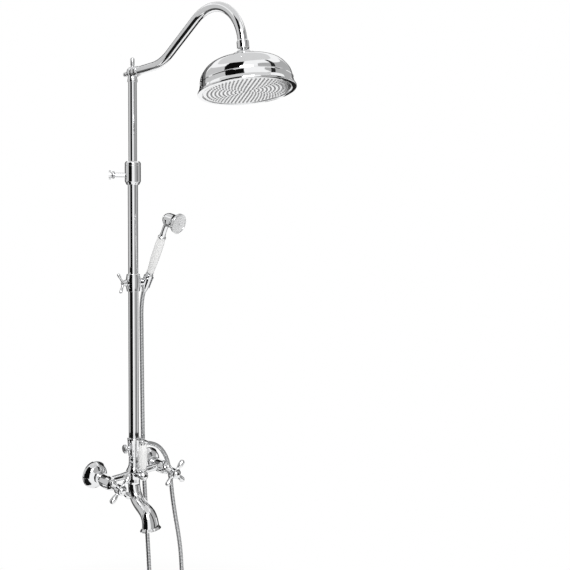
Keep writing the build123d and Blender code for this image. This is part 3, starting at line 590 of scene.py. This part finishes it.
@dataclass
class ThreadedUnion:
    """An inlet union with its male pipe thread, in place of the plain one."""

    node: str
    plain: bpy.types.Object
    body: str
    major_radius: float = 0.01048
    chamfer: float = 0.0008
    shank_radius: float = 0.012
    pitch: float = 0.001814
    depth: float = 0.00116
    rows_per_turn: int = 8
    columns: int = 40
    crease: float = math.radians(50.0)

    def rows(self, start: float, end: float) -> tuple[np.ndarray, np.ndarray]:
        """Works out the radius at each row and column and the distance along the axis at each row.

        The thread's radius falls from the crest by a triangle wave that runs once a pitch along
        a helix and fades out over the last turn at each end.

        Args:
            start: The thread's free end.
            end: The far end of the shank.

        Returns:
            Radii and distances.
        """
        count = int(round(-start / self.pitch * self.rows_per_turn))
        along = np.linspace(start, 0.0, count + 1)
        turn = np.arange(self.columns) / self.columns
        wave = np.abs(2 * np.mod(along[:, None] / self.pitch + turn[None, :], 1.0) - 1)
        fade = np.clip(np.minimum(along - start, -along) / self.pitch, 0.0, 1.0)[:, None]
        thread = self.major_radius - self.depth * wave * fade
        ends = [(self.major_radius - self.depth - self.chamfer, start)]
        tail = [(self.shank_radius, 0.0), (self.shank_radius, end)]
        plain = np.ones((1, self.columns))
        radii = np.concatenate([r * plain for r, _ in ends] + [thread] + [r * plain for r, _ in tail])
        places = np.concatenate([[a for _, a in ends], along, [a for _, a in tail]])
        return radii, places

    def build(self) -> bpy.types.Object:
        """Turns the rows about the inlet's axis, from the thread's free end to the end of the shank.

        Returns:
            The threaded union.
        """
        points = np.array([vertex.co for vertex in self.plain.data.vertices])
        middle = (points.min(axis=0) + points.max(axis=0)) / 2
        radii, places = self.rows(-points[:, 1].max(), -points[:, 1].min())
        turn = full_turn(self.columns)
        grid = np.empty((*radii.shape, 3))
        grid[..., 0] = middle[0] + radii * np.cos(turn)
        grid[..., 1] = -places[:, None]
        grid[..., 2] = middle[2] + radii * np.sin(turn)
        mesh = grid_mesh(f"{self.node}_threaded", grid, closed_ends=True)
        crisp(mesh, mesh, self.crease)
        union = place(f"{self.node}_threaded", mesh, Surface.CHROME)
        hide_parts(self.node)
        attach(union, self.body)
        return union


@dataclass
class WoundHose:
    """The metal hose: a wound tube along a smooth hanging line."""

    diameter: float = 0.0104
    pitch: float = 0.0036
    groove: float = 0.0007
    rows_per_turn: int = 4
    columns: int = 18
    top_length: float = 0.11
    outlet_dip: float = math.radians(15.0)
    handset_lean: float = math.radians(30.0)
    column_y: float = -0.055
    outlet_height: float = 74.0
    holder_side: float = 36.0
    holder_height: float = 452.0
    holder_front: float = 4.0
    spline_order: int = 3
    spline_resolution: int = 64
    least_step: float = 1e-9
    path_stride: int = 4
    pieces: dict[str, bpy.types.Object] = field(default_factory=dict)

    def hung(self, side: float, height: float, behind: float = 0.0) -> np.ndarray:
        """A point of the hose by its side and height and its distance behind the column, in millimetres."""
        return np.array([side * MILLIMETRE, self.column_y + behind * MILLIMETRE, height * MILLIMETRE])

    def outlet_line(self, along: float) -> np.ndarray:
        """A point on the outlet's axis, at a distance from the column in millimetres."""
        drop = along * math.sin(self.outlet_dip)
        return self.hung(along * math.cos(self.outlet_dip), self.outlet_height - drop)

    def handset_line(self, along: float) -> np.ndarray:
        """A point on the handset's axis, at a distance from the holder in millimetres."""
        rise = along * math.cos(self.handset_lean)
        behind = -self.holder_front - along * math.sin(self.handset_lean)
        return self.hung(self.holder_side, self.holder_height + rise, behind)

    def routes(self) -> tuple[list[np.ndarray], list[np.ndarray]]:
        """Gives the hose's two routes, from the outlet to the bottom of the loop and on to the handset.

        Returns:
            Control points of the feed and of the riser.
        """
        split = self.hung(94, -359)
        feed = [
            self.outlet_line(36), self.outlet_line(58), self.hung(79, 41), self.hung(96, 13),
            self.hung(105, -27), self.hung(114, -105), self.hung(136, -215), self.hung(140.5, -289),
            self.hung(143, -330), self.hung(114, -359), split,
        ]
        riser = [
            split, self.hung(74, -359), self.hung(45, -330), self.hung(44, -250, 2), self.hung(43, -170, 8),
            self.hung(43, -90, 16), self.hung(42, -10, 22), self.hung(41, 70, 24), self.hung(37, 330, 22),
            self.handset_line(-50), self.handset_line(-25),
        ]
        return feed, riser

    def smooth_line(self, points: list[np.ndarray], spacing: float) -> np.ndarray:
        """Reads evenly spaced points from the NURBS spline of a route.

        Args:
            points: The spline's control points.
            spacing: Distance between the points that are read.

        Returns:
            Array of points along the line.
        """
        curve = bpy.data.curves.new("route", "CURVE")
        curve.dimensions = "3D"
        curve.resolution_u = self.spline_resolution
        spline = curve.splines.new("NURBS")
        spline.points.add(len(points) - 1)
        spline.points.foreach_set("co", np.column_stack([points, np.ones(len(points))]).ravel())
        spline.order_u = self.spline_order
        spline.use_endpoint_u = True
        guide = bpy.data.objects.new("route", curve)
        bpy.context.collection.objects.link(guide)
        bpy.context.view_layer.update()
        read = bpy.data.meshes.new_from_object(guide)
        line = np.empty(len(read.vertices) * 3)
        read.vertices.foreach_get("co", line)
        line = line.reshape(-1, 3)
        bpy.data.objects.remove(guide)
        bpy.data.curves.remove(curve)
        bpy.data.meshes.remove(read)
        step = np.linalg.norm(np.diff(line, axis=0), axis=1)
        line = line[np.concatenate([[True], step > self.least_step])]
        run = np.concatenate([[0.0], np.cumsum(np.linalg.norm(np.diff(line, axis=0), axis=1))])
        even = np.linspace(0.0, run[-1], max(int(round(run[-1] / spacing)), 2) + 1)
        return np.stack([np.interp(even, run, line[:, axis]) for axis in range(3)], axis=1)

    @staticmethod
    def frames(line: np.ndarray) -> tuple[np.ndarray, np.ndarray]:
        """Gives two directions across the line at each point, from one fixed sideways direction.

        Args:
            line: Points along the hose.

        Returns:
            Arrays of the first and the second direction.
        """
        tangent = unit(np.gradient(line, axis=0))
        outward = np.array([0.0, -1.0, 0.0])
        first = unit(outward - tangent * (tangent @ outward)[:, None])
        return first, np.cross(tangent, first)

    def tube(self, name: str, line: np.ndarray, start: float) -> bpy.types.Object:
        """Makes a wound tube: the radius dips once a pitch, along a helix round the line.

        Args:
            name: The piece's name.
            line: Points along the hose.
            start: Length of hose before the first point.

        Returns:
            The tube.
        """
        first, second = self.frames(line)
        run = start + np.concatenate([[0.0], np.cumsum(np.linalg.norm(np.diff(line, axis=0), axis=1))])
        turn = full_turn(self.columns)
        phase = 2 * np.pi * run[:, None] / self.pitch + turn[None, :]
        crest = np.sqrt(0.5 + 0.5 * np.cos(phase))
        radius = self.diameter / 2 - self.groove * (1 - crest)
        across = np.cos(turn)[None, :, None] * first[:, None, :]
        ring = across + np.sin(turn)[None, :, None] * second[:, None, :]
        mesh = grid_mesh(name, line[:, None, :] + radius[..., None] * ring, closed_ends=True)
        # The crest also sets the winding's tone: painted shade in the grooves.
        mark_crest_shade(mesh, crest)
        self.pieces[name] = place(name, mesh, Surface.WINDING)
        return self.pieces[name]

    def build(self) -> None:
        """Makes the feed, the riser and its top end, and logs their lengths."""
        spacing = self.pitch / self.rows_per_turn
        feed_route, riser_route = self.routes()
        feed_line = self.smooth_line(feed_route, spacing)
        riser_line = self.smooth_line(riser_route, spacing)
        cut = len(riser_line) - 1 - int(round(self.top_length / spacing))
        lines = {
            "hose_feed_wound": feed_line,
            "hose_riser_wound": riser_line[: cut + 1],
            "hose_top_wound": riser_line[cut:],
        }
        start = 0.0
        for name, line in lines.items():
            tube = self.tube(name, line, start)
            length = float(np.linalg.norm(np.diff(line, axis=0), axis=1).sum())
            start += length
            tuple(line[0])
            LOG.info("%s: %.3f m", name, length)
        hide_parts("hose_feed")
        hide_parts("hose_riser")
        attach(self.pieces["hose_feed_wound"], "mixer")
        foot, seam, top = riser_line[0], riser_line[cut], riser_line[-1]
        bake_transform(self.pieces["hose_riser_wound"], "mixer", "slider", start=tuple(foot), end=tuple(seam))
        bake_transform(self.pieces["hose_top_wound"], "slider", "holder", start=tuple(seam), end=tuple(top))


@dataclass(frozen=True)
class Card:
    """A card round the column: its azimuths in degrees right of the camera's direction, edges and tone."""

    name: str
    start: float
    end: float
    grey: float
    low: float = -2.2
    high: float = 2.9
    inset: float = 0.0


@dataclass(frozen=True)
class Flag:
    """A ring behind the column: its two angles in degrees from the camera's line, and its tone."""

    name: str
    inner: float
    outer: float
    grey: float


@dataclass(frozen=True)
class Lamp:
    """A soft square lamp: where it hangs, what it points at, its side and its power in watts."""

    name: str
    place: Point
    aim: Point
    size: float
    watts: float


@dataclass
class Studio:
    """Pale floor, soft lamps, cards for the reflections and the camera at the photograph's angle."""

    camera_place: Point = (-0.8509, -1.3817, 0.6143)
    camera_yaw: float = math.radians(39.80)
    camera_pitch: float = math.radians(-1.75)
    focal_pixels: float = 668.65
    shift: tuple[float, float] = (0.12, -0.09)
    floor_height: float = -0.95
    floor_half: float = 30.0
    shadow_reach: tuple[float, float] = (1.1, 1.7)
    shadow_share: float = 0.6
    floor_colour: Rgb = (0.86, 0.86, 0.86)
    floor_sheen: Rgb = (0.877, 0.877, 0.877)
    floor_roughness: float = 0.9
    floor_cells: float = 3.0
    floor_detail: float = 2.0
    world_strength: float = 0.55
    lamps: tuple[Lamp, ...] = (
        Lamp("key", (-1.6, -2.2, 2.2), (0.0, -0.1, 0.4), 1.4, 42.0),
        Lamp("fill", (2.2, -1.6, 1.0), (0.0, -0.1, 0.4), 1.6, 16.0),
        Lamp("top", (0.0, -0.4, 3.0), (0.0, -0.2, 0.4), 1.6, 26.0),
    )
    column: tuple[float, float] = (0.0, -0.055)
    card_radius: float = 2.4
    card_steps: int = 25
    round_steps: int = 100
    cards: tuple[Card, ...] = (
        Card("black_card", -62.0, -12.0, 0.004, high=4.5),
        Card("left_card", -135.0, -62.0, 0.6),
        Card("right_card", 24.0, 58.0, 0.44),
        Card("right_line", 58.0, 70.0, 0.02, high=4.5),
        Card("side_card", 70.0, 100.0, 0.44),
        Card("rear_side_card", 100.0, 135.0, 0.44, low=0.2),
        Card("left_skirting", -135.0, -62.0, 0.02, high=-0.68, inset=0.02),
        Card("low_card", -84.0, -62.0, 0.01, high=0.3, inset=0.04),
        Card("right_skirting", 24.0, 135.0, 0.02, high=-0.68, inset=0.02),
    )
    flag_centre: Point = (0.0, -0.055, 0.4)
    flag_radius: float = 1.75
    flags: tuple[Flag, ...] = (Flag("dark_flag", 28.0, 54.0, 0.015), Flag("grey_flag", 54.0, 66.0, 0.16))
    mat_across: tuple[float, float] = (-2.3, -0.3)
    mat_along: tuple[float, float] = (-0.7, 0.9)
    mat_lift: float = 0.02
    mat_grey: float = 0.01
    ceiling_height: float = 2.7
    ceiling_radius: float = 1.3
    ceiling_grey: float = 0.7
    ceiling_rings: int = 4
    ceiling_hub: float = 0.01

    def white_to_eye(self, tree: bpy.types.NodeTree) -> bpy.types.NodeSocket:
        """Adds a value that is 1 for rays seen by the camera or in a reflection.

        Args:
            tree: The node tree to add to.

        Returns:
            The value's socket.
        """
        path = tree.nodes.new("ShaderNodeLightPath")
        total = path.outputs["Is Camera Ray"]
        for name in ("Is Glossy Ray", "Is Transmission Ray"):
            add = tree.nodes.new("ShaderNodeMath")
            add.operation = "MAXIMUM"
            tree.links.new(total, add.inputs[0])
            tree.links.new(path.outputs[name], add.inputs[1])
            total = add.outputs[0]
        return total

    def world(self) -> None:
        """Lights the scene evenly, with a white background."""
        world = bpy.data.worlds.new("studio")
        bpy.context.scene.world = world
        world.use_nodes = True
        tree = world.node_tree
        tree.nodes.clear()
        output = tree.nodes.new("ShaderNodeOutputWorld")
        seen, lit = tree.nodes.new("ShaderNodeBackground"), tree.nodes.new("ShaderNodeBackground")
        seen.inputs["Strength"].default_value = 1.0
        lit.inputs["Strength"].default_value = self.world_strength
        mix = tree.nodes.new("ShaderNodeMixShader")
        tree.links.new(self.white_to_eye(tree), mix.inputs[0])
        tree.links.new(lit.outputs[0], mix.inputs[1])
        tree.links.new(seen.outputs[0], mix.inputs[2])
        tree.links.new(mix.outputs[0], output.inputs["Surface"])
        for node in (seen, lit):
            node.inputs["Color"].default_value = WHITE

    @staticmethod
    def flat_mesh(
        name: str, across: tuple[float, float], along: tuple[float, float], height: float
    ) -> bpy.types.Mesh:
        """Makes a level rectangle from its ranges in X and in Y.

        Args:
            name: The mesh's name.
            across: Its range in X.
            along: Its range in Y.
            height: Its height.

        Returns:
            The mesh.
        """
        mesh = bpy.data.meshes.new(name)
        corners = [(across[i], along[j], height) for i, j in ((0, 0), (1, 0), (1, 1), (0, 1))]
        mesh.from_pydata(corners, [], [(0, 1, 2, 3)])
        return mesh

    def floor(self) -> None:
        """Lays a pale floor that is white to the eye and keeps a soft shadow."""
        half = self.floor_half
        mesh = self.flat_mesh("floor", (-half, half), (-half, half), self.floor_height)
        graph = ShaderGraph("pale_floor")
        graph.shader.inputs["Roughness"].default_value = self.floor_roughness
        grain = graph.noise(self.floor_cells, self.floor_detail)
        graph.tint(grain, self.floor_colour, self.floor_sheen)
        glow = graph.nodes.new("ShaderNodeEmission")
        glow.inputs["Color"].default_value = WHITE
        glow.inputs["Strength"].default_value = 1.0
        mix = graph.nodes.new("ShaderNodeMixShader")
        share = graph.nodes.new("ShaderNodeMath")
        share.operation = "MULTIPLY"
        distance = graph.nodes.new("ShaderNodeVectorMath")
        distance.operation = "LENGTH"
        graph.links.new(graph.coordinates.outputs["Object"], distance.inputs[0])
        fade = graph.nodes.new("ShaderNodeMapRange")
        fade.inputs["From Min"].default_value = self.shadow_reach[0]
        fade.inputs["From Max"].default_value = self.shadow_reach[1]
        fade.inputs["To Min"].default_value = self.shadow_share
        graph.links.new(distance.outputs["Value"], fade.inputs["Value"])
        graph.links.new(fade.outputs["Result"], share.inputs[1])
        graph.links.new(self.white_to_eye(graph.material.node_tree), share.inputs[0])
        graph.links.new(share.outputs[0], mix.inputs[0])
        graph.links.new(graph.shader.outputs[0], mix.inputs[1])
        graph.links.new(glow.outputs[0], mix.inputs[2])
        graph.links.new(mix.outputs[0], graph.output.inputs["Surface"])
        mesh.materials.append(graph.material)
        floor = bpy.data.objects.new("floor", mesh)
        bpy.context.collection.objects.link(floor)

    def card(self, card: Card) -> None:
        """Stands up a card along an arc round the column, which shows only in reflections.

        The wall's points are the column plus the card radius times the cosine and the sine of an
        azimuth that runs evenly over the card, at its lower and its upper edge.

        Args:
            card: The card.
        """
        toward = math.atan2(self.camera_place[1] - self.column[1], self.camera_place[0] - self.column[0])
        azimuth = toward + np.radians(np.linspace(card.start, card.end, self.card_steps))
        ring = np.stack([np.cos(azimuth), np.sin(azimuth), np.zeros_like(azimuth)], axis=1)
        foot = np.array([*self.column, card.low]) + ring * (self.card_radius - card.inset)
        top = foot + np.array([0.0, 0.0, card.high - card.low])
        index = np.arange(self.card_steps - 1)
        faces = np.stack([index, index + 1, index + 1 + self.card_steps, index + self.card_steps], axis=1)
        mesh = bpy.data.meshes.new(card.name)
        mesh.from_pydata(np.concatenate([foot, top]).tolist(), [], faces.tolist())
        self.reflected_only(mesh, card.grey)

    def flag(self, flag: Flag) -> None:
        """Hangs a dark ring behind the column, which gives polished pieces their dark outlines.

        Its points lie on a sphere, at a polar angle from the direction away from the camera that
        runs between the flag's two angles, and once round that direction.

        Args:
            flag: The ring.
        """
        centre = np.array(self.flag_centre)
        away = unit(centre - np.array(self.camera_place))
        across = unit(np.cross(away, np.array([0.0, 0.0, 1.0])))
        upward = np.cross(across, away)
        polar = np.radians(np.linspace(flag.inner, flag.outer, self.card_steps))[:, None, None]
        turn = full_turn(self.round_steps)[None, :, None]
        ring = np.cos(turn) * across + np.sin(turn) * upward
        bowl = centre + self.flag_radius * (np.cos(polar) * away + np.sin(polar) * ring)
        self.reflected_only(grid_mesh(flag.name, bowl, closed_ends=False), flag.grey)

    def ceiling(self) -> None:
        """Hangs a grey disc overhead: rings of points at a radius that runs out from its middle."""
        share = np.linspace(self.ceiling_hub, 1.0, self.ceiling_rings)[:, None, None] * self.ceiling_radius
        turn = full_turn(self.round_steps)[None, :, None]
        ring = np.concatenate([np.cos(turn), np.sin(turn), np.zeros_like(turn)], axis=-1)
        disc = np.array([*self.column, self.ceiling_height]) + share * ring
        self.reflected_only(grid_mesh("ceiling", disc, closed_ends=False), self.ceiling_grey)

    def reflected_only(self, mesh: bpy.types.Mesh, grey: float) -> None:
        """Puts a mesh of one tone into the studio that shows only in reflections.

        Args:
            mesh: The mesh.
            grey: Its tone.
        """
        graph = ShaderGraph(f"{mesh.name}_paint")
        graph.nodes.remove(graph.shader)
        glow = graph.nodes.new("ShaderNodeEmission")
        glow.inputs["Color"].default_value = rgba((grey,) * 3)
        graph.links.new(glow.outputs[0], graph.output.inputs["Surface"])
        mesh.materials.append(graph.material)
        wall = bpy.data.objects.new(mesh.name, mesh)
        bpy.context.collection.objects.link(wall)
        wall.visible_camera = False
        wall.visible_shadow = False
        wall.visible_diffuse = False
        wall.visible_transmission = False

    @staticmethod
    def hang(lamp: Lamp) -> None:
        """Hangs a lamp, turned to what it points at.

        Args:
            lamp: The lamp.
        """
        data = bpy.data.lights.new(lamp.name, "AREA")
        data.size, data.energy = lamp.size, lamp.watts
        light = bpy.data.objects.new(lamp.name, data)
        light.location = lamp.place
        line = Vector(lamp.aim) - Vector(lamp.place)
        light.rotation_euler = line.to_track_quat("-Z", "Y").to_euler()
        bpy.context.collection.objects.link(light)

    def camera(self) -> None:
        """Places the camera with the photograph's framing."""
        data = bpy.data.cameras.new("photograph")
        data.sensor_width = SENSOR_MM
        data.lens = self.focal_pixels / PHOTO_PIXELS * SENSOR_MM
        data.shift_x, data.shift_y = self.shift
        camera = bpy.data.objects.new("photograph", data)
        camera.location = self.camera_place
        camera.rotation_euler = (math.pi / 2 + self.camera_pitch, 0.0, -self.camera_yaw)
        bpy.context.collection.objects.link(camera)
        bpy.context.scene.camera = camera

    def build(self) -> None:
        """Makes the world, floor, lamps, cards, flags, ceiling, mat and camera."""
        bpy.context.scene.view_settings.view_transform = "Standard"
        self.world()
        self.floor()
        for lamp in self.lamps:
            self.hang(lamp)
        for card in self.cards:
            self.card(card)
        for flag in self.flags:
            self.flag(flag)
        self.ceiling()
        mat_height = self.floor_height + self.mat_lift
        mat = self.flat_mesh("dark_mat", self.mat_across, self.mat_along, mat_height)
        self.reflected_only(mat, self.mat_grey)
        self.camera()
        LOG.info("studio is set")


def head_plates(nodes: dict[str, bpy.types.Object]) -> list[NozzlePlate]:
    """Gives the nozzle plates of the rain head and the handset.

    Args:
        nodes: The CAD nodes by name.

    Returns:
        The two plates.
    """
    return [
        NozzlePlate(
            "rain_nozzles", "head", nodes["head_faceplate"], pitch=0.0075, rings=10, root_radius=0.0022,
            tip_radius=0.0014, height=0.0011, bead_radius=0.0835, bead_half=0.0009,
        ),
        NozzlePlate(
            "handset_nozzles", "handset", nodes["handset_faceplate"], pitch=0.0035, rings=5,
            root_radius=0.0011, tip_radius=0.0007, height=0.0005, bead_radius=0.0205, bead_half=0.0006,
            jet_scale=1.9,
        ),
    ]


def main() -> None:
    """Builds the studio, the hose, the dressed frame and its small pieces."""
    logging.basicConfig(level=logging.INFO, format="%(name)s: %(message)s")
    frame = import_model()
    record = frame["record"]
    Studio().build()
    WoundHose().build()
    slots = {entry["node"]: entry["material_slot"] for entry in record["subparts"]}
    PolishedFrame(
        frame["nodes"], record["behaviour"]["bodies"], slots,
        hidden=(*HOSES, *INLETS),
    ).dress()
    for node in INLETS:
        ThreadedUnion(node, frame["nodes"][node], "mixer").build()
    AeratorScreen(frame["nodes"]["spout_aerator"], "mixer").build()
    for plate in head_plates(frame["nodes"]):
        plate.build()
        plate.bead()


if __name__ == "__main__":
    main()
